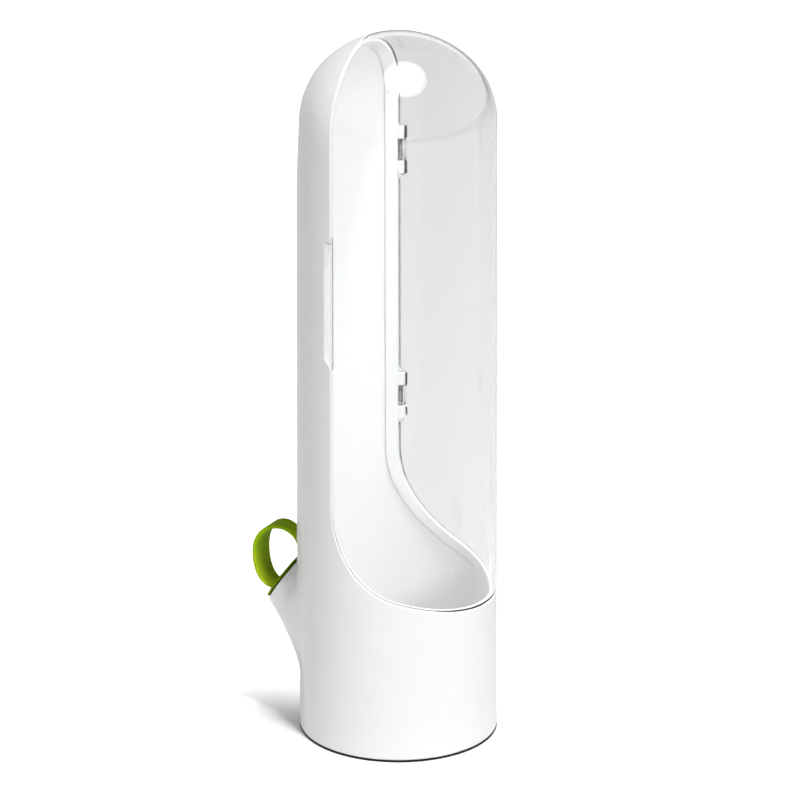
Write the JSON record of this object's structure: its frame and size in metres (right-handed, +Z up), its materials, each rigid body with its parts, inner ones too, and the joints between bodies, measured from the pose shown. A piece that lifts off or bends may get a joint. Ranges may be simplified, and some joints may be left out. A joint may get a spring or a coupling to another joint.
{
  "type": "herb keeper",
  "caption": "Tall round-topped upright herb keeper: white shell with a side-hinged clear door, a water cup at its foot and a filler spout closed by a soft plug with a finger loop.",
  "frame": {"origin": "centre of the foot pad's lower face, on the surface that the keeper stands on", "axes": "+Z up along the body's axis; the clear door faces -Y and the filler spout +Y; the door's hinge is on the +X side"},
  "size_m": [0.0762, 0.0976, 0.28],
  "materials": {
    "shell_white": "smooth glossy moulded white",
    "door_clear": "clear, polished",
    "pin_steel": "plain drawn steel",
    "plug_green": "satin soft moulding, bright green",
    "cap_white": "satin moulded white",
    "seal_grey": "plain soft seal",
    "foot_grey": "matt dark grey"
  },
  "bodies": {
    "body": {"body_shell": "shell_white", "upper_hinge_pin": "pin_steel", "lower_hinge_pin": "pin_steel", "bottom_cap": "cap_white", "base_seal": "seal_grey", "foot_pad": "foot_grey"},
    "door": {"clear_door": "door_clear"},
    "plug": {"spout_plug": "plug_green"}
  },
  "joints": [
    {"name": "door_hinge", "type": "hinge", "parent": "body", "child": "door", "pos_m": [0.03556, 0.0136, 0.172], "axis": [0, 0, 1], "range_deg": [0, 110]},
    {"name": "plug_pull", "type": "slide", "parent": "body", "child": "plug", "axis": [0, 0.829, 0.5592], "range_m": [0, 0.03]}
  ]
}
